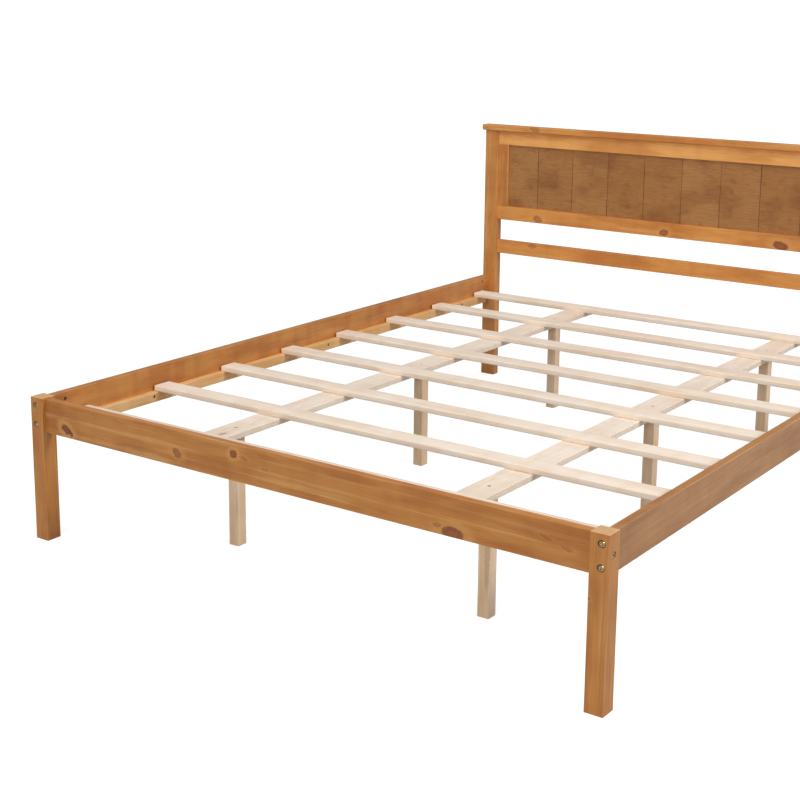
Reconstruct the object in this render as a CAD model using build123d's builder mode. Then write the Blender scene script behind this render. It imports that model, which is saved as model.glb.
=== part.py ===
from build123d import *
import os

# A queen platform bed in solid pine. A panelled headboard, two side rails and a foot
# rail are bolted to corner posts. Loose slats lie on ledgers along the side rails and
# on two centre beams, and each beam stands on three legs.
#
# Millimetres. X runs across the bed, Y from the foot to the head and Z up. The origin
# is on the floor, in the middle of the bed's length and width.

os.makedirs("parts", exist_ok=True)

# The bed as a whole
inner_width = 1540          # between the side rails, for a mattress 1524 wide
bed_length = 2106           # front of the foot posts to back of the head posts
foot_face = -bed_length / 2
head_face = bed_length / 2
sides = {"left": -1, "right": 1}

# Side rails and foot rail
rail_thickness = 20
rail_height = 85
rail_bottom = 279
rail_top = rail_bottom + rail_height
rail_inside = inner_width / 2
rail_outside = rail_inside + rail_thickness
rail_middle = rail_inside + rail_thickness / 2
foot_rail_setback = 10
foot_rail_front = foot_face + foot_rail_setback
foot_rail_back = foot_rail_front + rail_thickness
foot_rail_middle = foot_rail_front + rail_thickness / 2

# Corner posts
post_overlap = 7            # how far the posts stand out past the side rails
post_outside = rail_outside + post_overlap
foot_post = 42
foot_post_top = rail_top + 3
foot_post_inside = post_outside - foot_post
foot_post_back = foot_face + foot_post
head_post_width = 52
head_post_depth = 31
head_post_top = 877
head_post_inside = post_outside - head_post_width
head_post_front = head_face - head_post_depth

# Headboard
frame_setback = 5           # from the head posts' front faces
frame_thickness = 20
frame_front = head_post_front + frame_setback
frame_back = frame_front + frame_thickness
frame_middle = frame_front + frame_thickness / 2
frame_rail_height = 48
bottom_rail_bottom = 566
bottom_rail_top = bottom_rail_bottom + frame_rail_height
top_rail_bottom = head_post_top - frame_rail_height
cross_bar_bottom = 446
cross_bar_height = 47
stile_width = 40
stile_inside = head_post_inside - stile_width
cap_thickness = 20
cap_depth = 39
cap_end_overhang = 9
cap_under_radius = 4

# Headboard panel, held in grooves all round
panel_thickness = 8
panel_setback = 8           # from the frame's front face
panel_front = frame_front + panel_setback
panel_back = panel_front + panel_thickness
panel_tongue = 8            # how far the panel and the stiles' tongues reach in
groove_depth = 9
panel_line_count = 10       # routed lines that divide the panel into boards
panel_line_pitch = 134.2
panel_line_middle = 14.4
panel_line_width = 3
panel_line_depth = 2

# Ledgers, beams, legs and slats
slat_thickness = 15
slat_width = 56
slat_length = 1530
slat_bottom = 301
slat_radius = 3
slat_end_chamfer = 0.8
first_slat_place = 132      # from the foot posts' front faces
second_slat_place = 421
slat_pitch = 262.3
slat_count = 8
ledger_thickness = 20
ledger_height = 26
ledger_end_gap = 53         # leaves the lower barrel nuts free
beam_width = 75
beam_thickness = 15
beam_length = 2034
beam_place = 365            # from the bed's middle line
leg_size = 30
leg_places = (-783, 13, 783)

# Bolts and barrel nuts that pull the rails against the posts
bolt_radius = 3
bolt_clearance = 3.5
bolt_head_radius = 7.5
bolt_head_height = 4
bolt_head_rounding = 3
bolt_socket_flats = 5
bolt_socket_depth = 2.6
bolt_recess_radius = 8.5
bolt_recess_depth = 5
foot_bolt_length = 90
head_bolt_length = 80
side_bolt_heights = (298, 346)
end_bolt_height = 321.5
nut_radius = 5
nut_length = 15
nut_hole_depth = 17.5
nut_inset = 46              # from the rail's end
nut_slot_width = 1.4
nut_slot_depth = 1.5
rail_bolt_hole_depth = 56
side_dowel_height = sum(side_bolt_heights) / 2

# Dowels and screws
dowel_radius = 4
dowel_length = 30
dowel_fit = 0.05            # room for glue round a dowel
foot_dowel_spread = 26      # either side of the foot rail's bolt
frame_dowel_edge = 12       # from the edge of a headboard rail
frame_dowel_pitch = 20
cap_dowel_pitch = 300
cap_dowel_count = 5
screw_head_radius = 4
screw_head_height = 2.4
screw_recess_radius = 4.6
screw_recess_depth = 4
screw_fit = 0.05
ledger_screw_length = 32
ledger_screw_radius = 2
ledger_screw_height = 290
ledger_screw_first = 131    # from the foot posts' front faces
ledger_screw_second = 378
ledger_screw_pitch = 373
ledger_screw_count = 6
leg_screw_length = 60
leg_screw_radius = 2.5
pilot_extra = 1             # beyond a screw's point

edge_radius = 1.5           # sanded edges


def span(sign, inner, outer):
    """The low and high X of a piece that lies between inner and outer on one side."""
    return tuple(sorted((sign * inner, sign * outer)))


def facing(x, y, z, direction, along=None):
    """A plane at a point on a face, looking out of it, for a hole or a fastener there."""
    return Plane(origin=(x, y, z), x_dir=along, z_dir=direction)


def board(x, y, z):
    """Add a planed board to the part being built: x, y and z are its low and high limits."""
    with BuildSketch(Plane.XY.offset(z[0])) as section:
        with Locations(((x[0] + x[1]) / 2, (y[0] + y[1]) / 2)):
            Rectangle(x[1] - x[0], y[1] - y[0])
    extrude(section.sketch, amount=z[1] - z[0])


def slat_places():
    """The Y of each slat's middle line, from the foot to the head."""
    places = [first_slat_place]
    places += [second_slat_place + slat_pitch * step for step in range(slat_count - 1)]
    return [foot_face + place for place in places]


def ledger_screw_places():
    """The Y of each ledger screw: one near the foot, then a steady pitch."""
    places = [ledger_screw_first]
    places += [ledger_screw_second + ledger_screw_pitch * step for step in range(ledger_screw_count - 1)]
    return [foot_face + place for place in places]


def pilot_depth(screw_length, board_thickness):
    """How deep a screw's hole runs into the piece behind the board that holds its head."""
    return screw_recess_depth + screw_length - board_thickness + pilot_extra


def frame_dowel_heights():
    """The heights of the dowel pairs at the ends of the headboard's three rails."""
    pair = (0, frame_dowel_pitch)
    low = [bottom_rail_bottom + frame_dowel_edge + step for step in pair]
    high = [head_post_top - frame_dowel_edge - step for step in pair]
    bar_middle = cross_bar_bottom + cross_bar_height / 2
    bar = [bar_middle - frame_dowel_pitch / 2 + step for step in pair]
    return {"bottom_rail": low, "top_rail": high, "cross_bar": bar}


def dowel_hole(*places):
    """Drill a blind hole for half a dowel at each place."""
    with Locations(*places):
        Hole(radius=dowel_radius + dowel_fit, depth=dowel_length / 2)


# Foot posts: a bolt pair from the front, one bolt from the side, and dowel holes
def make_foot_post(side, sign):
    inner_face = sign * foot_post_inside
    with BuildPart() as post:
        board(span(sign, foot_post_inside, post_outside), (foot_face, foot_post_back), (0, foot_post_top))
        fillet(post.edges().filter_by(Axis.Z), radius=edge_radius)
        fillet(post.faces().sort_by(Axis.Z)[-1].edges(), radius=edge_radius)
        front = [facing(sign * rail_middle, foot_face, z, (0, -1, 0)) for z in side_bolt_heights]
        outer = facing(sign * post_outside, foot_rail_middle, end_bolt_height, (sign, 0, 0))
        with Locations(*front, outer):
            CounterBoreHole(bolt_clearance, bolt_recess_radius, bolt_recess_depth, depth=foot_post)
        for step in (-foot_dowel_spread, foot_dowel_spread):
            dowel_hole(facing(inner_face, foot_rail_middle, end_bolt_height + step, (-sign, 0, 0)))
        dowel_hole(facing(sign * rail_middle, foot_post_back, side_dowel_height, (0, 1, 0)))
    post.part.label = f"foot_post_{side}"
    export_step(post.part, f"parts/foot_post_{side}.step")


# Foot rail: bolted and dowelled between the foot posts, with its nuts in the back face
def make_foot_rail():
    with BuildPart() as rail:
        board((-foot_post_inside, foot_post_inside), (foot_rail_front, foot_rail_back),
              (rail_bottom, rail_top))
        fillet(rail.edges().filter_by(Axis.X), radius=edge_radius)
        for sign in sides.values():
            end = sign * foot_post_inside
            with Locations(facing(end, foot_rail_middle, end_bolt_height, (sign, 0, 0))):
                Hole(radius=bolt_clearance, depth=rail_bolt_hole_depth)
            with Locations(facing(end - sign * nut_inset, foot_rail_back, end_bolt_height, (0, 1, 0))):
                Hole(radius=nut_radius + dowel_fit, depth=nut_hole_depth)
            for step in (-foot_dowel_spread, foot_dowel_spread):
                dowel_hole(facing(end, foot_rail_middle, end_bolt_height + step, (sign, 0, 0)))
    rail.part.label = "foot_rail"
    export_step(rail.part, "parts/foot_rail.step")


# Side rails: bolted to a foot post at one end and to a head post at the other
def make_side_rail(side, sign):
    with BuildPart() as rail:
        board(span(sign, rail_inside, rail_outside), (foot_post_back, head_post_front),
              (rail_bottom, rail_top))
        fillet(rail.edges().filter_by(Axis.Y), radius=edge_radius)
        for end, outward in ((foot_post_back, -1), (head_post_front, 1)):
            for z in side_bolt_heights:
                with Locations(facing(sign * rail_middle, end, z, (0, outward, 0))):
                    Hole(radius=bolt_clearance, depth=rail_bolt_hole_depth)
                with Locations(facing(sign * rail_inside, end - outward * nut_inset, z, (-sign, 0, 0))):
                    Hole(radius=nut_radius + dowel_fit, depth=nut_hole_depth)
            dowel_hole(facing(sign * rail_middle, end, side_dowel_height, (0, outward, 0)))
        with Locations(*[facing(sign * rail_inside, y, ledger_screw_height, (-sign, 0, 0))
                         for y in ledger_screw_places()]):
            Hole(radius=ledger_screw_radius + screw_fit,
                 depth=pilot_depth(ledger_screw_length, ledger_thickness))
    rail.part.label = f"side_rail_{side}"
    export_step(rail.part, f"parts/side_rail_{side}.step")


# Side ledgers: battens glued and screwed to the side rails, which carry the slats' ends
def make_side_ledger(side, sign):
    ledger_inside = rail_inside - ledger_thickness
    length = (foot_post_back + ledger_end_gap, head_post_front - ledger_end_gap)
    with BuildPart() as ledger:
        board(span(sign, ledger_inside, rail_inside), length, (slat_bottom - ledger_height, slat_bottom))
        fillet(ledger.edges().filter_by(Axis.Y), radius=edge_radius)
        with Locations(*[facing(sign * ledger_inside, y, ledger_screw_height, (-sign, 0, 0))
                         for y in ledger_screw_places()]):
            CounterBoreHole(ledger_screw_radius + screw_fit, screw_recess_radius, screw_recess_depth,
                            depth=ledger_thickness)
    ledger.part.label = f"side_ledger_{side}"
    export_step(ledger.part, f"parts/side_ledger_{side}.step")


# Head posts: bolts from the back, and dowel holes for the side rail, the headboard and the cap
def make_head_post(side, sign):
    with BuildPart() as post:
        board(span(sign, head_post_inside, post_outside), (head_post_front, head_face), (0, head_post_top))
        fillet(post.edges().filter_by(Axis.Z), radius=edge_radius)
        with Locations(*[facing(sign * rail_middle, head_face, z, (0, 1, 0)) for z in side_bolt_heights]):
            CounterBoreHole(bolt_clearance, bolt_recess_radius, bolt_recess_depth, depth=head_post_depth)
        dowel_hole(facing(sign * rail_middle, head_post_front, side_dowel_height, (0, -1, 0)))
        for heights in frame_dowel_heights().values():
            dowel_hole(*[facing(sign * head_post_inside, frame_middle, z, (-sign, 0, 0)) for z in heights])
        dowel_hole(facing(sign * cap_post_dowel_place(), frame_middle, head_post_top, (0, 0, 1)))
    post.part.label = f"head_post_{side}"
    export_step(post.part, f"parts/head_post_{side}.step")


def cap_post_dowel_place():
    """The X of the cap's dowel in the middle of a head post."""
    return (head_post_inside + post_outside) / 2


def cap_dowel_planes():
    """A plane on the cap's underside for each dowel that holds it."""
    middle = (cap_dowel_count - 1) / 2
    places = [cap_dowel_pitch * (step - middle) for step in range(cap_dowel_count)]
    places += [sign * cap_post_dowel_place() for sign in sides.values()]
    return [facing(x, frame_middle, head_post_top, (0, 0, -1)) for x in places]


# Cap: a flat board on the posts and the top rail, overhanging the front and the ends
def make_headboard_cap():
    half = post_outside + cap_end_overhang
    with BuildPart() as cap:
        board((-half, half), (head_face - cap_depth, head_face),
              (head_post_top, head_post_top + cap_thickness))
        fillet(cap.edges().group_by(Axis.Z)[0].sort_by(Axis.Y)[:-1], radius=cap_under_radius)
        fillet(cap.faces().sort_by(Axis.Z)[-1].edges(), radius=edge_radius)
        dowel_hole(*cap_dowel_planes())
    cap.part.label = "headboard_cap"
    export_step(cap.part, "parts/headboard_cap.step")


# Top and bottom rails: dowelled between the head posts, each with a groove for the panel
def make_headboard_rail(name, bottom, top, groove_at_top):
    with BuildPart() as rail:
        board((-head_post_inside, head_post_inside), (frame_front, frame_back), (bottom, top))
        fillet(rail.edges().filter_by(Axis.X), radius=edge_radius)
        groove_floor = top - groove_depth if groove_at_top else bottom
        with BuildSketch(Plane.XY.offset(groove_floor)):
            with Locations((0, (panel_front + panel_back) / 2)):
                Rectangle(2 * head_post_inside, panel_thickness)
        extrude(amount=groove_depth, mode=Mode.SUBTRACT)
        for sign in sides.values():
            dowel_hole(*[facing(sign * head_post_inside, frame_middle, z, (sign, 0, 0))
                         for z in frame_dowel_heights()[name]])
        if name == "top_rail":
            dowel_hole(*[facing(plane.origin.X, frame_middle, top, (0, 0, 1))
                         for plane in cap_dowel_planes()[:cap_dowel_count]])
    rail.part.label = f"headboard_{name}"
    export_step(rail.part, f"parts/headboard_{name}.step")


# Stiles: short uprights beside the posts, tongued into the rails and grooved for the panel
def make_headboard_stile(side, sign):
    panel_edge = stile_inside + groove_depth
    with BuildPart() as stile:
        board(span(sign, stile_inside, head_post_inside), (frame_front, frame_back),
              (bottom_rail_top, top_rail_bottom))
        outward = Axis((0, 0, 0), (sign, 0, 0))
        fillet(stile.edges().filter_by(Axis.Z).group_by(outward)[0], radius=edge_radius)
        board(span(sign, panel_edge, head_post_inside), (panel_front, panel_back),
              (bottom_rail_top - panel_tongue, top_rail_bottom + panel_tongue))
        with BuildSketch(Plane.XY.offset(bottom_rail_top)):
            with Locations((sign * (stile_inside + groove_depth / 2), (panel_front + panel_back) / 2)):
                Rectangle(groove_depth, panel_thickness)
        extrude(amount=top_rail_bottom - bottom_rail_top, mode=Mode.SUBTRACT)
    stile.part.label = f"headboard_stile_{side}"
    export_step(stile.part, f"parts/headboard_stile_{side}.step")


# Panel: one board, with V-shaped lines routed down its front to look like separate boards
def make_headboard_panel():
    half = stile_inside + panel_tongue
    bottom = bottom_rail_top - panel_tongue
    top = top_rail_bottom + panel_tongue
    with BuildPart() as panel:
        board((-half, half), (panel_front, panel_back), (bottom, top))
        with BuildSketch(Plane.XY.offset(bottom)):
            with Locations((panel_line_middle, panel_front)):
                with GridLocations(panel_line_pitch, 1, panel_line_count, 1):
                    Polygon((-panel_line_width / 2, 0), (0, panel_line_depth), (panel_line_width / 2, 0),
                            (0, -panel_line_depth), align=None)
        extrude(amount=top - bottom, mode=Mode.SUBTRACT)
    panel.part.label = "headboard_panel"
    export_step(panel.part, "parts/headboard_panel.step")


# Cross bar: dowelled between the head posts, below the headboard
def make_headboard_cross_bar():
    top = cross_bar_bottom + cross_bar_height
    with BuildPart() as bar:
        board((-head_post_inside, head_post_inside), (frame_front, frame_back), (cross_bar_bottom, top))
        fillet(bar.edges().filter_by(Axis.X), radius=edge_radius)
        for sign in sides.values():
            dowel_hole(*[facing(sign * head_post_inside, frame_middle, z, (sign, 0, 0))
                         for z in frame_dowel_heights()["cross_bar"]])
    bar.part.label = "headboard_cross_bar"
    export_step(bar.part, "parts/headboard_cross_bar.step")


# Centre beams: flat boards under the slats, each screwed down onto three legs
def make_centre_beam(side, sign):
    x = span(sign, beam_place - beam_width / 2, beam_place + beam_width / 2)
    with BuildPart() as beam:
        board(x, (-beam_length / 2, beam_length / 2), (slat_bottom - beam_thickness, slat_bottom))
        fillet(beam.edges().filter_by(Axis.Y), radius=edge_radius)
        with Locations(*[facing(sign * beam_place, y, slat_bottom, (0, 0, 1)) for y in leg_places]):
            CounterBoreHole(leg_screw_radius + screw_fit, screw_recess_radius, screw_recess_depth,
                            depth=beam_thickness)
    beam.part.label = f"centre_beam_{side}"
    export_step(beam.part, f"parts/centre_beam_{side}.step")


# Support legs: square, with a pilot hole for the screw in the top end
def make_support_leg(side, sign, number, place):
    middle = sign * beam_place
    half = leg_size / 2
    top = slat_bottom - beam_thickness
    with BuildPart() as leg:
        board((middle - half, middle + half), (place - half, place + half), (0, top))
        fillet(leg.edges().filter_by(Axis.Z), radius=edge_radius)
        with Locations(facing(middle, place, top, (0, 0, 1))):
            Hole(radius=leg_screw_radius + screw_fit, depth=pilot_depth(leg_screw_length, beam_thickness))
    leg.part.label = f"support_leg_{side}_{number}"
    export_step(leg.part, f"parts/support_leg_{side}_{number}.step")


# Slats: loose boards with rounded edges, resting on both ledgers and both beams
def make_slat(number, place):
    with BuildPart() as slat:
        board((-slat_length / 2, slat_length / 2), (place - slat_width / 2, place + slat_width / 2),
              (slat_bottom, slat_bottom + slat_thickness))
        fillet(slat.edges().filter_by(Axis.X), radius=slat_radius)
        for end in (slat.faces().sort_by(Axis.X)[0], slat.faces().sort_by(Axis.X)[-1]):
            chamfer(end.edges(), length=slat_end_chamfer)
    slat.part.label = f"slat_{number}"
    export_step(slat.part, f"parts/slat_{number}.step")


# Corner bolts: a rounded head with a hexagon socket, seated in the post's counterbore
def corner_bolt(length):
    with BuildPart() as bolt:
        with BuildSketch():
            Circle(bolt_head_radius)
        extrude(amount=bolt_head_height)
        fillet(bolt.edges().sort_by(Axis.Z)[-1], radius=bolt_head_rounding)
        with BuildSketch():
            Circle(bolt_radius)
        extrude(amount=-length)
        chamfer(bolt.edges().sort_by(Axis.Z)[0], length=bolt_radius / 4)
        with BuildSketch(Plane.XY.offset(bolt_head_height)):
            RegularPolygon(bolt_socket_flats / 2, 6, major_radius=False)
        extrude(amount=-bolt_socket_depth, mode=Mode.SUBTRACT)
    return bolt.part


def foot_bolt_planes():
    """A plane on the floor of each counterbore in the foot posts: two in front, one outside."""
    front_seat = foot_face + bolt_recess_depth
    side_seat = post_outside - bolt_recess_depth
    planes = []
    for sign in sides.values():
        planes += [facing(sign * rail_middle, front_seat, z, (0, -1, 0)) for z in side_bolt_heights]
        planes.append(facing(sign * side_seat, foot_rail_middle, end_bolt_height, (sign, 0, 0)))
    return planes


def head_bolt_planes():
    """A plane on the floor of each counterbore in the backs of the head posts."""
    seat = head_face - bolt_recess_depth
    return [facing(sign * rail_middle, seat, z, (0, 1, 0))
            for sign in sides.values() for z in side_bolt_heights]


# Barrel nuts: steel cylinders across the rails, each with a cross hole for its bolt and a
# slot that turns it into line
def barrel_nut():
    with BuildPart() as nut:
        with BuildSketch():
            Circle(nut_radius)
        extrude(amount=nut_length / 2, both=True)
        with Locations(facing(nut_radius, 0, 0, (1, 0, 0))):
            Hole(radius=bolt_radius + dowel_fit, depth=2 * nut_radius)
        with BuildSketch(Plane.XY.offset(nut_length / 2)):
            Rectangle(2 * nut_radius, nut_slot_width)
        extrude(amount=-nut_slot_depth, mode=Mode.SUBTRACT)
    return nut.part


def barrel_nut_planes():
    """A plane in the middle of each nut, across its rail and in line with its bolt."""
    sunk = nut_hole_depth - nut_length / 2
    planes = []
    for sign in sides.values():
        across = sign * (rail_inside + sunk)
        for y in (foot_post_back + nut_inset, head_post_front - nut_inset):
            planes += [facing(across, y, z, (-sign, 0, 0), (0, 1, 0)) for z in side_bolt_heights]
        end = sign * (foot_post_inside - nut_inset)
        planes.append(facing(end, foot_rail_back - sunk, end_bolt_height, (0, 1, 0), (1, 0, 0)))
    return planes


# Dowels: beech pins, half in each of the two pieces they join
def dowel_pin():
    with BuildPart() as pin:
        with BuildSketch():
            Circle(dowel_radius)
        extrude(amount=dowel_length / 2, both=True)
        chamfer(pin.edges(), length=dowel_radius / 5)
    return pin.part


def rail_dowel_planes():
    """A plane at each joint between a rail and a post, across which a dowel lies."""
    planes = []
    for sign in sides.values():
        planes += [facing(sign * rail_middle, y, side_dowel_height, (0, 1, 0))
                   for y in (foot_post_back, head_post_front)]
        planes += [facing(sign * foot_post_inside, foot_rail_middle, end_bolt_height + step, (1, 0, 0))
                   for step in (-foot_dowel_spread, foot_dowel_spread)]
    return planes


def frame_dowel_planes():
    """A plane at each joint between a headboard rail and a head post."""
    return [facing(sign * head_post_inside, frame_middle, z, (1, 0, 0))
            for sign in sides.values() for pair in frame_dowel_heights().values() for z in pair]


# Screws: a low round head with a cross recess, sunk in its counterbore, and a pointed shank
def wood_screw(length, radius):
    arm = screw_head_radius * 1.1
    point = 2 * radius
    with BuildPart() as screw:
        with BuildSketch():
            Circle(screw_head_radius)
        extrude(amount=screw_head_height)
        fillet(screw.edges().sort_by(Axis.Z)[-1], radius=screw_head_height / 2)
        with BuildSketch(Plane.XZ):
            with BuildLine():
                Polyline((0, 0), (radius, 0), (radius, point - length), (0, -length), close=True)
            make_face()
        revolve(axis=Axis.Z)
        with BuildSketch(Plane.XY.offset(screw_head_height)):
            Rectangle(arm, arm / 4)
            Rectangle(arm / 4, arm)
        extrude(amount=-screw_head_height / 2, mode=Mode.SUBTRACT)
    return screw.part


def ledger_screw_planes():
    """A plane on the floor of each ledger counterbore."""
    seat = rail_inside - ledger_thickness + screw_recess_depth
    return [facing(sign * seat, y, ledger_screw_height, (-sign, 0, 0))
            for sign in sides.values() for y in ledger_screw_places()]


def leg_screw_planes():
    """A plane on the floor of each beam counterbore."""
    return [facing(sign * beam_place, y, slat_bottom - screw_recess_depth, (0, 0, 1))
            for sign in sides.values() for y in leg_places]


def make_fasteners(name, fastener, planes):
    """Place a fastener on each plane, as separate solids of one sub-part."""
    with BuildPart() as group:
        with Locations(*planes):
            add(fastener)
    group.part.label = name
    export_step(group.part, f"parts/{name}.step")


# The bed, from the corner posts to the slats and then the fasteners
for side, sign in sides.items():
    make_foot_post(side, sign)
    make_side_rail(side, sign)
    make_side_ledger(side, sign)
    make_head_post(side, sign)
    make_headboard_stile(side, sign)
    make_centre_beam(side, sign)
    for number, place in enumerate(leg_places, start=1):
        make_support_leg(side, sign, number, place)

make_foot_rail()
make_headboard_cap()
make_headboard_rail("top_rail", top_rail_bottom, head_post_top, groove_at_top=False)
make_headboard_rail("bottom_rail", bottom_rail_bottom, bottom_rail_top, groove_at_top=True)
make_headboard_panel()
make_headboard_cross_bar()
for number, place in enumerate(slat_places(), start=1):
    make_slat(number, place)

nut = barrel_nut()
dowel = dowel_pin()
make_fasteners("foot_post_bolts", corner_bolt(foot_bolt_length), foot_bolt_planes())
make_fasteners("head_post_bolts", corner_bolt(head_bolt_length), head_bolt_planes())
make_fasteners("barrel_nuts", nut, barrel_nut_planes())
make_fasteners("rail_dowels", dowel, rail_dowel_planes())
make_fasteners("headboard_dowels", dowel, frame_dowel_planes())
make_fasteners("cap_dowels", dowel, cap_dowel_planes())
make_fasteners("ledger_screws", wood_screw(ledger_screw_length, ledger_screw_radius), ledger_screw_planes())
make_fasteners("leg_screws", wood_screw(leg_screw_length, leg_screw_radius), leg_screw_planes())
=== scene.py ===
import math
import bpy
import numpy as np
from mathutils import Matrix, Vector


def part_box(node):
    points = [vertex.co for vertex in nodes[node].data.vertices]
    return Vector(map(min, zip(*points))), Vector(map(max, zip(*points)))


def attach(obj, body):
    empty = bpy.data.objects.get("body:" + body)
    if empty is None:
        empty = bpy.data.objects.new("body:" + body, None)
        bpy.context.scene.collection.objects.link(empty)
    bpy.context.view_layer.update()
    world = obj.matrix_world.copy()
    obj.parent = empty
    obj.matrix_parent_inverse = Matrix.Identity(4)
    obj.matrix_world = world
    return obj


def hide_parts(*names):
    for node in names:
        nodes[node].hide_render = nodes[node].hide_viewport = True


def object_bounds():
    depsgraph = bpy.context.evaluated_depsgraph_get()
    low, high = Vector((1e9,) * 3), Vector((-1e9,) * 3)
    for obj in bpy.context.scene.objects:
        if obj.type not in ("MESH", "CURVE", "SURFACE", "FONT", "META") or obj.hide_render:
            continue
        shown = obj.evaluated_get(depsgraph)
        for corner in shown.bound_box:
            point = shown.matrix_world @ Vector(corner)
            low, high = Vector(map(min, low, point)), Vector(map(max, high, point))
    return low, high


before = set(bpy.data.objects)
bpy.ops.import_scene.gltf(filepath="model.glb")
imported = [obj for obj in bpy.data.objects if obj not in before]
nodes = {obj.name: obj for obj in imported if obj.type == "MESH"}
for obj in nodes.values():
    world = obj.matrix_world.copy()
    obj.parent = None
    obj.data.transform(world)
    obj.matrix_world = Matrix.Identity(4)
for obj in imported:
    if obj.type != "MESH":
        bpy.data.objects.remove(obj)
cad_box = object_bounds()


# Foot posts. Two square posts of knotty pine, planed, stained amber brown and given a thin
# satin lacquer. The corner bolts' counterbores are drilled into them, so the posts keep
# their CAD meshes.

def linear(code):
    """An sRGB hex colour as linear RGBA: c / 12.92 where c is dark, and ((c + 0.055) / 1.055) ** 2.4
    elsewhere."""
    c = np.array([int(code[i:i + 2], 16) for i in (0, 2, 4)]) / 255
    return (*np.where(c > 0.04045, ((c + 0.055) / 1.055) ** 2.4, c / 12.92), 1.0)


def add(tree, kind, inputs=(), **settings):
    """Adds one shader node. inputs maps a socket's name or number to a value, or to a socket to link."""
    made = tree.nodes.new("ShaderNode" + kind)
    for name, value in settings.items():
        setattr(made, name, value)
    for name, value in dict(inputs).items():
        if isinstance(value, bpy.types.NodeSocket):
            tree.links.new(value, made.inputs[name])
        else:
            made.inputs[name].default_value = value
    return made.outputs


def empty_material(name):
    """A new material without nodes, and its tree."""
    material = bpy.data.materials.new(name)
    material.use_nodes = True
    material.node_tree.nodes.clear()
    return material, material.node_tree


# Which way a board's trunk grew: the turn that brings the pattern's Z there
along_x = (0, math.pi / 2, 0)
along_y = (-math.pi / 2, 0, 0)
along_z = (0, 0, 0)

# Amber stain under satin lacquer: the soft wood between the rings drinks the stain, so rings
# show little, and the eye sees warm blotches, faint streaks and red-brown knots instead. Each
# part of the figure is a colour and its largest share, over the colour of the wood. Rings are
# 4.8 mm apart.
amber = {
    "wood": "C88844", "rings": ("C79E6C", 0.20), "fibre": ("C8A075", 0.16),
    "mottle": ("C99F70", 0.50), "streak": ("F2C583", 0.30), "ripple": ("D9B894", 0.14),
    "end": ("EBC79A", 0.5), "halo": ("DDA05C", 0.45), "core": ("8A4626", 0.85),
    "rim": ("5E2C1C", 0.55), "ring_pitch": 0.0048, "roughness": (0.34, 0.46), "bump": 0.06,
    "fuzz": 0.0,
}


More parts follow.
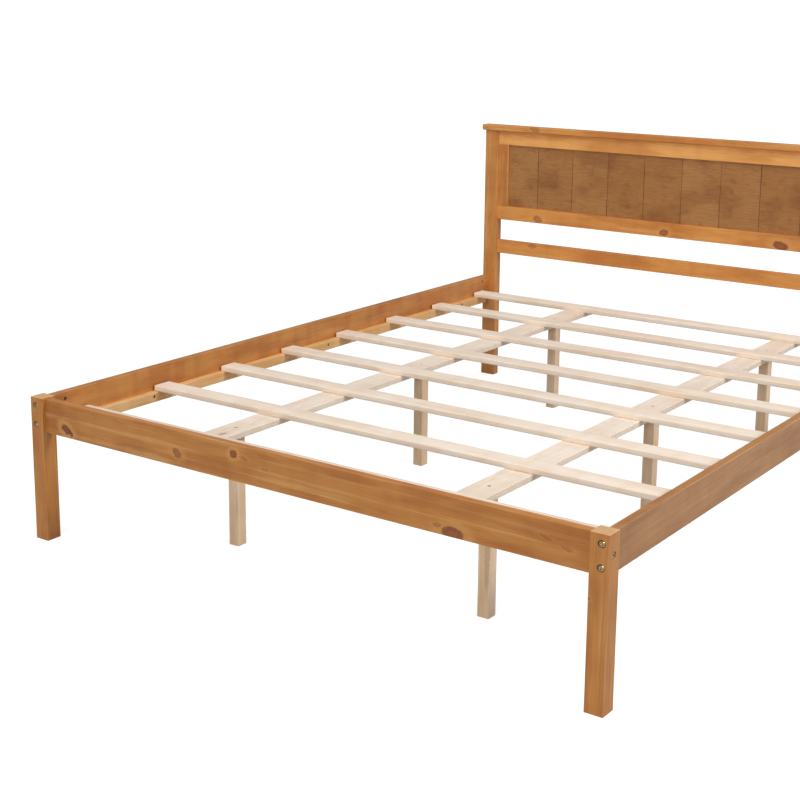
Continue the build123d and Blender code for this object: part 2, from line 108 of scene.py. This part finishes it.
def pine(name, finish, along, pith, knots=()):
    """A pine board's material, on Object coordinates in metres.

    The growth rings are a saw wave of the distance from the pith line, which passes the board at
    pith and leans by a degree, so flat faces show long arches. Each knot is its place, radii, turn
    and strength. The distance to its uneven ellipsoid, in radii, darkens the wood inside 1 and
    pushes the rings out around it. Noise is given in cycles per metre, twice across the trunk and
    once along it.
    """
    material, tree = empty_material(name)
    here = add(tree, "TexCoord")["Object"]
    facing = add(tree, "TexCoord")["Normal"]
    lean = tuple(a + t for a, t in zip(along, (0.019, 0.012, 0)))
    trunk = add(tree, "Mapping", {"Vector": here, "Location": pith, "Rotation": lean},
                vector_type="TEXTURE")["Vector"]

    def noise(per_metre, detail, rough=0.5, output="Fac"):
        stretched = add(tree, "VectorMath", {0: trunk, 1: per_metre}, operation="MULTIPLY")["Vector"]
        return add(tree, "TexNoise", {"Vector": stretched, "Scale": 1.0, "Detail": detail,
                                      "Roughness": rough})[output]

    def ramp(value, low, high, start=0.0, end=1.0):
        return add(tree, "MapRange", {0: value, 1: low, 2: high, 3: start, 4: end},
                   interpolation_type="SMOOTHSTEP")["Result"]

    def math_of(operation, *values):
        return add(tree, "Math", dict(enumerate(values)), operation=operation)["Value"]

    # How far the nearest knot is, and how much of its dark core, its bark-brown rim and the paler
    # halo round it shows. Noise makes the edge rough by a few millimetres.
    roughest = 0.016
    nearest, core, rim, halo = 9.0, 0.0, 0.0, 0.0
    if knots:
        shake = add(tree, "VectorMath", {0: noise((110, 110, 70), 4, 0.7, "Color"), 1: (0.5, 0.5, 0.5)},
                    operation="SUBTRACT")["Vector"]
        rough_here = add(tree, "VectorMath", {0: shake, 1: (roughest, roughest, roughest), 2: here},
                         operation="MULTIPLY_ADD")["Vector"]
    for place, radii, turn, strength in knots:
        spot = add(tree, "Mapping", {"Vector": rough_here, "Location": place, "Scale": radii,
                                     "Rotation": turn}, vector_type="TEXTURE")["Vector"]
        away = add(tree, "VectorMath", {0: spot}, operation="LENGTH")["Value"]
        nearest = math_of("MINIMUM", nearest, away)
        core = math_of("MAXIMUM", core, ramp(away, 1.25, 0.6, 0.0, strength))
        edge = math_of("MULTIPLY", ramp(away, 1.2, 0.85), ramp(away, 0.3, 1.0, 0.0, strength))
        rim = math_of("MAXIMUM", rim, edge)
        glow = math_of("MULTIPLY", ramp(away, 2.6, 1.5, 0.0, strength), ramp(away, 0.8, 1.2))
        halo = math_of("MAXIMUM", halo, glow)
    swell = math_of("EXPONENT", math_of("MULTIPLY", nearest, -0.5))

    # Rings that wander by about a centimetre along the trunk, and swell by five of them at a knot
    across = add(tree, "VectorMath", {0: trunk, 1: (1, 1, 0)}, operation="MULTIPLY")["Vector"]
    radius = add(tree, "VectorMath", {0: across}, operation="LENGTH")["Value"]
    wander = math_of("MULTIPLY_ADD", noise((16, 16, 1.8), 2), 0.020, radius)
    phase = math_of("MULTIPLY_ADD", swell, 5.0, math_of("DIVIDE", wander, finish["ring_pitch"]))
    late = math_of("POWER", math_of("FRACT", phase), 2.2)

    # Fibres are 2 mm wide and 110 mm long, drawn coarser than real ones so that they show. Blotches
    # are 45 mm wide, streaks 13 mm wide and 600 mm long, and a ripple crosses every 48 mm.
    fibre = ramp(noise((480, 480, 9), 3, 0.6), 0.36, 0.64)
    mottle = ramp(noise((22, 22, 4), 3, 0.55), 0.40, 0.68)
    streak = ramp(noise((75, 75, 1.7), 2), 0.52, 0.72)
    ripple = ramp(noise((4, 4, 21), 1), 0.44, 0.66)
    grain_way = {along_x: (1, 0, 0), along_y: (0, 1, 0), along_z: (0, 0, 1)}[along]
    end_on = add(tree, "VectorMath", {0: facing, 1: grain_way}, operation="DOT_PRODUCT")["Value"]
    end = ramp(math_of("ABSOLUTE", end_on), 0.6, 0.8)

    shades = {"streak": streak, "mottle": mottle, "ripple": ripple, "fibre": fibre, "rings": late,
              "end": end}
    if knots:
        shades.update(halo=halo, core=core, rim=rim)
    colour = linear(finish["wood"])
    for part, where in shades.items():
        tint, most = finish[part]
        blend = "MULTIPLY" if part in ("mottle", "ripple", "fibre", "rings") else "MIX"
        colour = add(tree, "Mix", {0: math_of("MULTIPLY", where, most), 6: colour, 7: linear(tint)},
                     data_type="RGBA", blend_type=blend)[2]
    raised = 0.0003
    rise = math_of("MULTIPLY_ADD", late, 0.6, math_of("MULTIPLY", fibre, 0.4))
    grain = add(tree, "Bump", {"Height": rise, "Strength": finish["bump"],
                               "Distance": raised})["Normal"]
    surface = add(tree, "BsdfPrincipled", {
        "Base Color": colour, "Roughness": ramp(fibre, 0, 1, *finish["roughness"]), "IOR": 1.5,
        "Sheen Weight": finish["fuzz"], "Sheen Roughness": 0.4, "Normal": grain})["BSDF"]
    add(tree, "OutputMaterial", {"Surface": surface})
    return material


def dress(node, material):
    """Gives a carried-over CAD piece its finish."""
    slots = nodes[node].data.materials
    slots.clear()
    slots.append(material)


dress("foot_post_left", pine("amber_pine_foot_post_left", amber, along_z, (-0.700, -1.105, 0.2)))
dress("foot_post_right", pine("amber_pine_foot_post_right", amber, along_z, (0.700, -0.960, 0.1), knots=[
    ((0.757, -1.053, 0.232), (0.004, 0.03, 0.003), (0, 0, 0), 0.7),
]))


# Foot rail. A pine board with live knots, which is set back between the foot posts and
# bolted and dowelled to them from its ends.

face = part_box("foot_rail")[0].y
dress("foot_rail", pine("amber_pine_foot_rail", amber, along_x, (0.10, -1.010, 0.262), knots=[
    ((-0.683, face, 0.300), (0.017, 0.06, 0.0100), (0, 0.45, 0), 1.15),
    ((-0.668, face, 0.293), (0.010, 0.06, 0.0060), (0, 0.9, 0), 1.15),
    ((-0.313, face, 0.311), (0.014, 0.06, 0.0090), (0, 0.4, 0), 0.6),
    ((-0.141, face, 0.341), (0.011, 0.06, 0.0085), (0, -0.2, 0), 1.0),
    ((-0.112, face, 0.338), (0.012, 0.06, 0.0030), (0, 0.3, 0), 0.35),
    ((0.443, face, 0.288), (0.025, 0.06, 0.0130), (0, 0, 0), 0.9),
    ((0.404, face, 0.297), (0.010, 0.06, 0.0045), (0, 0, 0), 0.5),
    ((-0.050, face, 0.323), (0.009, 0.06, 0.0040), (0, 0.2, 0), 0.3),
    ((0.655, face, 0.329), (0.014, 0.06, 0.0040), (0, 0.3, 0), 0.25),
    ((0.703, face, 0.316), (0.013, 0.06, 0.0042), (0, 0.2, 0), 0.30),
]))


# Side rails. Long pine boards bolted to the posts at both ends, with the same stain. Their wood
# is clearer than the foot rail's, and the left one has a rippled figure.

calm = dict(amber, rings=("C79E6C", 0.10), streak=("F2C583", 0.12), fibre=("C8A075", 0.10))
rippled = dict(calm, ripple=("D9B894", 0.30))
dress("side_rail_left", pine("amber_pine_side_rail_left", rippled, along_y, (-0.735, 0.2, 0.290)))
dress("side_rail_right", pine("amber_pine_side_rail_right", dict(calm, wood="B5824F"), along_y,
                              (0.690, 0.1, 0.262)))


# Ledgers. Pine battens that are glued and screwed inside the side rails. They had one thin
# coat of stain, so they are paler and more yellow than the rails.

thin_coat = dict(amber, wood="EFC083", mottle=("D9BA94", 0.4), streak=("F6D8A8", 0.4),
                 roughness=(0.5, 0.6))
for side, sign in (("left", -1), ("right", 1)):
    dress(f"side_ledger_{side}", pine(f"thin_coat_pine_ledger_{side}", thin_coat, along_y,
                                      (sign * 0.70, 0.1, 0.25)))


# Corner bolts and barrel nuts. Zinc-plated furniture bolts with low domed heads and hex
# sockets, sunk into the posts. Each turns into a barrel nut in a hole from the rail's back.

def plated_steel(name, shade, roughness):
    """Zinc plate on steel: a metal whose colour and polish vary over 3 mm clouds, as the plating bath
    leaves them."""
    material, tree = empty_material(name)
    here = add(tree, "TexCoord")["Object"]
    cloud = add(tree, "TexNoise", {"Vector": here, "Scale": 350.0, "Detail": 3.0})["Fac"]
    colour = add(tree, "Mix", {0: cloud, 6: linear(shade), 7: linear("7D6A4C")}, data_type="RGBA")[2]
    spread = 0.08
    polish = add(tree, "MapRange", {0: cloud, 1: 0.3, 2: 0.7, 3: roughness - spread,
                                    4: roughness + spread})["Result"]
    surface = add(tree, "BsdfPrincipled", {"Base Color": colour, "Metallic": 1.0,
                                           "Roughness": polish})["BSDF"]
    add(tree, "OutputMaterial", {"Surface": surface})
    return material


def loft(name, solids, material, node, sharp=40):
    """One mesh of closed solids that stands for a CAD node.

    Each solid is an array of rings (ring, point, xyz). Quads join each ring to the next, and a
    ladder of quads between point j and point n - 1 - j closes each end. The rings run along
    their own normal, so the faces point outwards.
    """
    points, faces, first = [], [], 0
    for rings in solids:
        rows, count = rings.shape[:2]
        at = first + np.arange(rows * count).reshape(rows, count)
        beside = np.roll(at, -1, axis=1)
        faces.append(np.stack([at[:-1], beside[:-1], beside[1:], at[1:]], -1).reshape(-1, 4))
        j = np.arange(count // 2 - 1)
        rungs = [j, j + 1, count - 2 - j, count - 1 - j]
        faces.append(at[0][np.stack(rungs[::-1], -1)])
        faces.append(at[-1][np.stack(rungs, -1)])
        points.append(rings.reshape(-1, 3))
        first += rows * count
    mesh = bpy.data.meshes.new(name)
    mesh.from_pydata(np.concatenate(points).tolist(), [], np.concatenate(faces).tolist())
    mesh.polygons.foreach_set("use_smooth", np.ones(len(mesh.polygons), bool))
    mesh.set_sharp_from_angle(angle=math.radians(sharp))
    mesh.materials.append(material)
    made = bpy.data.objects.new(name, mesh)
    bpy.context.scene.collection.objects.link(made)
    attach(made, "root")
    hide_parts(node)


def turned(rows, place, axis, spin=0.0, points=48):
    """Rings of a turned piece, whose rows are (radius, height, hex) in mm.

    Heights run along axis from place. Where hex is 1 the ring is a hexagon of that inner radius:
    the reach to its edge is radius / cos(angle from the middle of a flat).
    """
    radius, height, six = (np.array(column)[:, None] for column in zip(*rows))
    angle = (np.arange(points) + 0.5) * 2 * math.pi / points
    from_flat = (angle - angle[0]) % (math.pi / 3) - math.pi / 6
    reach = radius * (1 + six * (1 / np.cos(from_flat) - 1)) / 1000
    out = Vector(axis).to_track_quat("Z", "Y").to_matrix()
    across, up, along = (np.array(out.col[i]) for i in range(3))
    turn = angle + spin
    flat = reach[..., None] * (np.cos(turn)[:, None] * across + np.sin(turn)[:, None] * up)
    return np.array(place) + flat + height[..., None] / 1000 * along


zinc = plated_steel("zinc_plated_steel", "E2D0AC", 0.20)
# The barrel nuts and the screws get a dark zinc: painted shade for the deep holes they sit in.
zinc_painted_shade = plated_steel("zinc_plated_steel_painted_shade", "5E5240", 0.45)


def bolt_rows(length):
    """A bolt from its tip to the floor of its 5 mm hex socket. Height 0 is under the head, a dome
    15 mm wide and 4 mm high over a short rim: radius 3.9 + 3.6 cos(a), height 1.3 + 2.7 sin(a)."""
    dome = np.radians(np.linspace(0, 78, 7))
    rows = [(1.8, -length, 0), (2.9, -length + 1.2, 0), (2.9, -0.3, 0), (3.0, 0, 0), (7.2, 0, 0),
            (7.5, 0.3, 0), (7.5, 1.3, 0)]
    rows += [(3.9 + 3.6 * math.cos(a), 1.3 + 2.7 * math.sin(a), 0) for a in dome[1:]]
    rows += [(4.2, 4.0, 0), (3.2, 4.0, 0), (2.9, 3.85, 0), (2.5, 3.6, 1), (2.5, 1.5, 1), (1.6, 1.2, 1)]
    return rows


# Two bolts run into each end of a side rail, through the posts, and one into each end of the
# foot rail, half way up. Their heads lie in seats 5 mm deep.
seat = 0.005
rail_bolt, head_post_bolt = 88, 78
rail_bolt_heights = (0.298, 0.346)
half_length, post_face = cad_box[1].y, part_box("foot_post_right")[1].x
rail_middle = sum(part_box("side_rail_right"), Vector()).x / 2
foot_rail_middle = sum(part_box("foot_rail"), Vector()) / 2
spins = np.random.default_rng(4).uniform(0, 1, 10)
foot_bolts, head_bolts = [], []
for n, (sign, z) in enumerate((s, z) for s in (-1, 1) for z in rail_bolt_heights):
    foot_bolts.append(turned(bolt_rows(rail_bolt), (sign * rail_middle, -half_length + seat, z),
                             (0, -1, 0), spins[n]))
    head_bolts.append(turned(bolt_rows(head_post_bolt), (sign * rail_middle, half_length - seat, z),
                             (0, 1, 0), spins[n + 4]))
for n, sign in enumerate((-1, 1)):
    foot_bolts.append(turned(bolt_rows(rail_bolt),
                             (sign * (post_face - seat), foot_rail_middle.y, foot_rail_middle.z),
                             (sign, 0, 0), spins[n + 8]))
loft("foot_corner_bolts", foot_bolts, zinc, "foot_post_bolts")
loft("head_corner_bolts", head_bolts, zinc, "head_post_bolts")
dress("barrel_nuts", zinc_painted_shade)


# Headboard frame. Two tall posts, a top and a bottom rail, two short stiles and the cross bar
# below, all in the amber stain. Dowels hold them, and the joints show as fine lines.

def beech():
    """Plain beech for the dowels: pale pinkish wood with short dark flecks along the dowel."""
    material, tree = empty_material("beech")
    here = add(tree, "TexCoord")["Object"]
    flecks = add(tree, "TexNoise", {"Vector": here, "Scale": 900.0, "Detail": 2.0})["Fac"]
    colour = add(tree, "Mix", {0: flecks, 6: linear("D8B48C"), 7: linear("B98E66")}, data_type="RGBA")[2]
    surface = add(tree, "BsdfPrincipled", {"Base Color": colour, "Roughness": 0.6})["BSDF"]
    add(tree, "OutputMaterial", {"Surface": surface})
    return material


dowel_wood = beech()
for kind in ("rail", "headboard", "cap"):
    dress(f"{kind}_dowels", dowel_wood)
upright_wood, rail_wood = dict(amber, wood="D2904A"), dict(amber, wood="E29C50")
for side, sign in (("left", -1), ("right", 1)):
    dress(f"head_post_{side}", pine(f"amber_pine_head_post_{side}", upright_wood, along_z,
                                    (sign * 0.73, 0.98, 0.4)))
    dress(f"headboard_stile_{side}", pine(f"amber_pine_stile_{side}", upright_wood, along_z,
                                          (sign * 0.71, 0.97, 0.4)))
# The top rail is painted lighter than the other rails: painted light that makes up for the shade the cap
# casts on it.
top_rail_painted_light = dict(amber, wood="F9B768")
dress("headboard_top_rail", pine("amber_pine_top_rail", top_rail_painted_light, along_x, (0.2, 0.99, 0.80)))
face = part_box("headboard_bottom_rail")[0].y
bottom_pith = (0.2, 0.99, 0.62)
dress("headboard_bottom_rail", pine("amber_pine_bottom_rail", rail_wood, along_x, bottom_pith, knots=[
    ((-0.582, face, 0.579), (0.018, 0.05, 0.0110), (0, 0.3, 0), 0.6),
    ((-0.105, face, 0.582), (0.016, 0.05, 0.0100), (0, -0.2, 0), 0.8),
    ((0.296, face, 0.580), (0.024, 0.05, 0.0130), (0, 0.2, 0), 0.95),
]))
dress("headboard_cross_bar", pine("amber_pine_cross_bar", rail_wood, along_x, (0.2, 0.99, 0.43), knots=[
    ((-0.601, face, 0.483), (0.016, 0.05, 0.0080), (0, 0, 0), 0.4),
]))


# Headboard panel. An 8 mm board with a rotary-cut veneer, stained a greyer brown than the
# frame. V-shaped lines are routed down its face, so that it looks like separate boards.

panel_low, panel_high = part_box("headboard_panel")
line_count, line_pitch, line_shift = 10, 0.1342, 0.0144


def veneer():
    """Rotary-cut veneer: one ring wanders over the whole sheet, so the figure is the contour lines of
    a slow noise, in long loops, with darker clouds. Each board between two routed lines has a tone
    of its own, and the stain pooled in the lines on the face. Noise is in cycles per metre."""
    material, tree = empty_material("brown_stained_veneer")
    here = add(tree, "TexCoord")["Object"]

    def noise(per_metre, detail, rough, shift=0.0):
        moved = add(tree, "Mapping", {"Vector": here, "Location": (shift, 0, shift),
                                      "Scale": per_metre})["Vector"]
        return add(tree, "TexNoise", {"Vector": moved, "Scale": 1.0, "Detail": detail,
                                      "Roughness": rough})["Fac"]

    def math_of(operation, *values):
        return add(tree, "Math", dict(enumerate(values)), operation=operation)["Value"]

    contours = 24.0
    loops = math_of("FRACT", math_of("MULTIPLY", noise((3.0, 0, 21), 2, 0.5, 3.1), contours))
    spot = add(tree, "SeparateXYZ", {0: here})
    board = math_of("MULTIPLY_ADD", spot["X"], 1 / line_pitch,
                    (line_count - 1) / 2 - line_shift / line_pitch)
    beside = math_of("PINGPONG", board, 0.5)
    tone = add(tree, "TexWhiteNoise", {"W": math_of("FLOOR", board)}, noise_dimensions="1D")["Value"]
    pooled = add(tree, "MapRange", {0: noise((9, 0, 3), 2, 0.5, 5.0), 1: 0.40, 2: 0.62,
                                    3: 0.20, 4: 0.75})["Result"]
    on_face = math_of("LESS_THAN", spot["Y"], (panel_low.y + panel_high.y) / 2)
    pooled = math_of("MULTIPLY", pooled, on_face)
    # What is laid over the ground colour: where, from and to which value, the colour, the share
    shades = [
        (loops, 0.0, 1.0, "C8AC86", 0.22),
        (noise((7, 0, 12), 3, 0.5), 0.44, 0.70, "B6935F", 0.45),
        (noise((14, 0, 300), 3, 0.6), 0.35, 0.65, "C8AA80", 0.30),
        (tone, 0.0, 1.0, "D9BC92", 0.35),
        (noise((30, 0, 45), 2, 0.5, 7.0), 0.52, 0.70, "BD9C6C", 0.25),
        (beside, 0.013, 0.006, "6A4A28", pooled),
    ]
    colour = linear("B5814A")
    for value, low, high, tint, most in shades:
        share = add(tree, "MapRange", {0: value, 1: low, 2: high, 3: 0.0, 4: most},
                    interpolation_type="SMOOTHSTEP")["Result"]
        colour = add(tree, "Mix", {0: share, 6: colour, 7: linear(tint)}, data_type="RGBA",
                     blend_type="MULTIPLY")[2]
    surface = add(tree, "BsdfPrincipled", {"Base Color": colour, "Roughness": 0.45, "IOR": 1.5})["BSDF"]
    add(tree, "OutputMaterial", {"Surface": surface})
    return material


# The panel's outline seen from above, carried up its height. At a distance d from a line the
# face lies deeper by depth * (1 - d / half width) ** 1.2.
line_depth, line_half = 0.0012, 0.0016
lines = line_shift + line_pitch * (np.arange(line_count) - (line_count - 1) / 2)
lip = np.array([-2.2, -1.6, -1.2, -0.8, -0.4, 0.0, 0.4, 0.8, 1.2, 1.6, 2.2]) / 1000
x = np.unique(np.concatenate([[panel_low.x, panel_high.x], (lines[:, None] + lip).ravel()]))
off_line = np.abs(x[:, None] - lines).min(1)
front = panel_low.y + line_depth * (1 - np.clip(off_line / line_half, 0, 1)) ** 1.2
profile = np.concatenate([np.c_[x, front], np.c_[x[::-1], np.full(len(x), panel_high.y)]])
z = np.linspace(panel_low.z, panel_high.z, 9)
panel = np.stack([np.c_[profile, np.full(len(profile), h)] for h in z])
loft("grooved_panel", [panel], veneer(), "headboard_panel")


# Cap. A flat pine board on the posts and the top rail, with a knot near its left end.

dress("headboard_cap", pine("amber_pine_cap", rail_wood, along_x, (0.2, 0.99, 0.86), knots=[
    ((-0.595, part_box("headboard_cap")[0].y, 0.890), (0.020, 0.03, 0.009), (0, 0.3, 0), 0.4),
]))


# Centre beams and their legs, in planed pine that is left bare. Each beam lies flat and is
# screwed down onto three square legs.

# Bare planed pine, faintly pink and painted pale: a painted highlight for the washed-out tops of the
# slats and beams. Its dry surface has raised fibres that catch light
bare = {
    "wood": "F6E8D8", "rings": ("EDDCC8", 0.35), "fibre": ("EDE0D2", 0.30),
    "mottle": ("F0E2D6", 0.5), "streak": ("F8F0E8", 0.4), "ripple": ("F4ECE2", 0.3),
    "end": ("DFC9AE", 0.6), "halo": ("D8B48E", 0.5), "core": ("9A6636", 0.8),
    "rim": ("7E4E2A", 0.5), "ring_pitch": 0.0045, "roughness": (0.62, 0.75), "bump": 0.15,
    "fuzz": 0.3,
}
# The legs keep the tanner colour that the wood has without the painted highlight.
legs = dict(bare, wood="EDD0AE")
beam_knots = {"left": [((-0.3546, -0.843, 0.301), (0.006, 0.010, 0.03), (0, 0, 0), 0.8)],
              "right": [((0.3800, -0.310, 0.301), (0.005, 0.009, 0.03), (0, 0, 0), 0.5)]}
leg_streaks = {"right_1": [((0.3745, -0.798, 0.170), (0.0065, 0.006, 0.11), (0, 0.02, 0), 0.30)]}
for side, sign in (("left", -1), ("right", 1)):
    dress(f"centre_beam_{side}", pine(f"bare_pine_beam_{side}", bare, along_y, (sign * 0.35, 0, 0.25),
                                      beam_knots[side]))
    for number in (1, 2, 3):
        leg = f"{side}_{number}"
        dress(f"support_leg_{leg}", pine(f"bare_pine_leg_{leg}", legs, along_z,
                                         (sign * 0.40, 0.2 * number, 0.1), leg_streaks.get(leg, ())))


def screw_rows(length):
    """A countersunk screw from its tip to the top of its head, 8 mm wide, at height 0."""
    return [(0.2, -length, 0), (1.6, -length + 4, 0), (1.6, -4.2, 0), (2.0, -2.4, 0),
            (3.9, -0.3, 0), (4.0, 0, 0), (3.9, 0.05, 0), (1.8, 0.12, 0), (1.5, -0.2, 1),
            (0.9, -1.6, 1)]


# The heads lie 1.8 mm below the wood. A ledger has one screw near its foot end and five more
# that are 373 mm apart.
leg_screw, ledger_screw, sunk, screw_points = 57, 29, 0.0018, 32
ledger_screw_places, ledger_screw_height = (-0.922, *(-0.675 + 0.373 * np.arange(5))), 0.290
beam_top, ledger_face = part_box("centre_beam_left")[1].z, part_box("side_ledger_right")[0].x
leg_screws, ledger_screws = [], []
for side, sign in (("left", -1), ("right", 1)):
    for number in (1, 2, 3):
        leg_middle = sum(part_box(f"support_leg_{side}_{number}"), Vector()) / 2
        leg_screws.append(turned(screw_rows(leg_screw), (leg_middle.x, leg_middle.y, beam_top - sunk),
                                 (0, 0, 1), leg_middle.y, screw_points))
    for y in ledger_screw_places:
        ledger_screws.append(turned(screw_rows(ledger_screw),
                                    (sign * (ledger_face + sunk), y, ledger_screw_height),
                                    (-sign, 0, 0), y, screw_points))
loft("beam_screws", leg_screws, zinc_painted_shade, "leg_screws")
loft("ledger_fixing_screws", ledger_screws, zinc_painted_shade, "ledger_screws")


# Slats. Eight planed boards of bare pine with rounded edges, which lie loose on the ledgers
# and the beams. None is quite straight: each crooks by a fraction of a millimetre.

def rounded_board(low, high, radius, crook, steps=30, bend=6):
    """Rings of a board along X. The section is a rectangle with quarter-round corners. Near an end,
    at radius / 2 * (1 - cos a) from it, the section is smaller by radius / 2 * (1 - sin a), so the
    end edges are eased too. The board bows sideways by crook * cos(pi / 2 * x / half its length)."""
    half = (np.array(high) - np.array(low)) / 2
    middle = (np.array(high) + np.array(low)) / 2
    ease = np.linspace(0, math.pi / 2, 5)[:-1] + 0.05
    inset = radius * 0.5 * (1 - np.sin(ease))
    tip = radius * 0.5 * (1 - np.cos(ease))
    x = np.concatenate([-half[0] + tip, np.linspace(-half[0] + radius, half[0] - radius, steps),
                        half[0] - tip[::-1]])
    inset = np.concatenate([inset, np.zeros(steps), inset[::-1]])[:, None]
    quarter = np.linspace(0, math.pi / 2, bend)
    angle = np.concatenate([quarter - math.pi / 2 + k * math.pi / 2 for k in range(4)])
    corner = np.repeat([[1, -1], [1, 1], [-1, 1], [-1, -1]], bend, axis=0)
    y = corner[:, 0] * (half[1] - radius) + radius * np.cos(angle) - np.sign(corner[:, 0]) * inset
    z = corner[:, 1] * (half[2] - radius) + radius * np.sin(angle) - np.sign(corner[:, 1]) * inset
    bow = crook * np.cos(x / half[0] * math.pi / 2)[:, None]
    rings = np.stack([np.broadcast_to(x[:, None], y.shape), y + bow, z], -1)
    return rings + middle


slat_count, slat_edge, most_crook = 8, 0.003, 0.0008
crooks = np.random.default_rng(11).uniform(-most_crook, most_crook, slat_count)
for number, crook in enumerate(crooks, 1):
    low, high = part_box(f"slat_{number}")
    board = rounded_board(low, high, slat_edge, crook)
    wood = pine(f"bare_pine_slat_{number}", bare, along_x, (0.1, 0.3 * number - 1.3, 0.26))
    loft(f"pine_slat_{number}", [board], wood, f"slat_{number}", sharp=60)


# Floor, light and camera. A white acrylic sweep that is lit a little from below, so that it
# photographs white. The key light stands on the right, in line with the slats, with a softbox
# overhead, a strong fill far in front and a weaker one behind.

floor_radius, floor_sides = 150, 96
around = np.linspace(0, 2 * math.pi, floor_sides, endpoint=False)
mesh = bpy.data.meshes.new("floor")
mesh.from_pydata((floor_radius * np.c_[np.cos(around), np.sin(around), 0 * around]).tolist(), [],
                 [list(range(floor_sides))])
floor = bpy.data.objects.new("floor", mesh)
bpy.context.scene.collection.objects.link(floor)
white, tree = empty_material("white_acrylic_floor")
rays = add(tree, "LightPath")
# The camera sees the whole glow, which grows from under the bed outwards, and the lacquer's
# reflections see 0.3 of it.
seen = add(tree, "Math", {0: rays["Is Glossy Ray"], 1: 0.3, 2: rays["Is Camera Ray"]},
           operation="MULTIPLY_ADD")["Value"]
away = add(tree, "VectorMath", {0: add(tree, "TexCoord")["Object"]}, operation="LENGTH")["Value"]
glow = add(tree, "MapRange", {0: away, 1: 1.5, 2: 6.0, 3: 0.80, 4: 1.0},
           interpolation_type="SMOOTHSTEP")["Result"]
glow = add(tree, "Math", {0: glow, 1: seen}, operation="MULTIPLY")["Value"]
surface = add(tree, "BsdfPrincipled", {
    "Base Color": linear("A6A6A4"), "Roughness": 0.7, "IOR": 1.2,
    "Emission Color": linear("FFFFFF"), "Emission Strength": glow})["BSDF"]
add(tree, "OutputMaterial", {"Surface": surface})
mesh.materials.append(white)

world = bpy.data.worlds.new("studio")
bpy.context.scene.world = world
world.use_nodes = True
tree = world.node_tree
tree.nodes.clear()
ambient, backdrop = 0.29, 1.05
direct = add(tree, "LightPath")["Is Camera Ray"]
strength = add(tree, "MapRange", {0: direct, 1: 0.0, 2: 1.0, 3: ambient, 4: backdrop})["Result"]
sky = add(tree, "Background", {"Color": linear("FFFFFF"), "Strength": strength})["Background"]
add(tree, "OutputWorld", {"Surface": sky})

# Each lamp is its name, its place, the point it faces, its side in metres and its watts
for name, place, towards, width, power in (
        ("overhead", (0.0, -2.2, 4.8), (0, 0, 0), 3.0, 108),
        ("key", (5.5, 0.3, 4.2), (0, 0, 0.3), 1.4, 185),
        ("back_fill", (4.0, 9.0, 3.5), (0, 0, 0.3), 3.0, 200),
        ("front_fill", (3.2, -12.0, 3.2), (0, 0, 0.3), 3.0, 470)):
    lamp = bpy.data.lights.new(name, "AREA")
    lamp.shape, lamp.size, lamp.energy = "SQUARE", width, power
    holder = bpy.data.objects.new(name, lamp)
    bpy.context.scene.collection.objects.link(holder)
    holder.location = place
    holder.rotation_euler = (Vector(towards) - Vector(place)).to_track_quat("-Z", "Y").to_euler()

# The camera's focal length is 1480.9 pixels of a picture 800 pixels wide
sensor, focal, picture = 36.0, 1480.9, 800
lens = bpy.data.cameras.new("camera")
lens.sensor_width, lens.lens = sensor, focal / picture * sensor
lens.shift_y, lens.clip_end = -0.1125, 400
turn, tip, roll = (math.radians(a) for a in (35.418, 12.122, 0.499))
ahead = np.array([-math.sin(turn) * math.cos(tip), math.cos(turn) * math.cos(tip), -math.sin(tip)])
level = np.array([math.cos(turn), math.sin(turn), 0])
upright = np.cross(level, ahead)
right = math.cos(roll) * level + math.sin(roll) * upright
up = math.cos(roll) * upright - math.sin(roll) * level
stand = Matrix.Translation((1.9783, -3.3907, 1.3465))
camera = bpy.data.objects.new("camera", lens)
bpy.context.scene.collection.objects.link(camera)
camera.matrix_world = stand @ Matrix(np.c_[right, up, -ahead]).to_4x4()
bpy.context.scene.camera = camera
bpy.context.scene.view_settings.view_transform = "Standard"
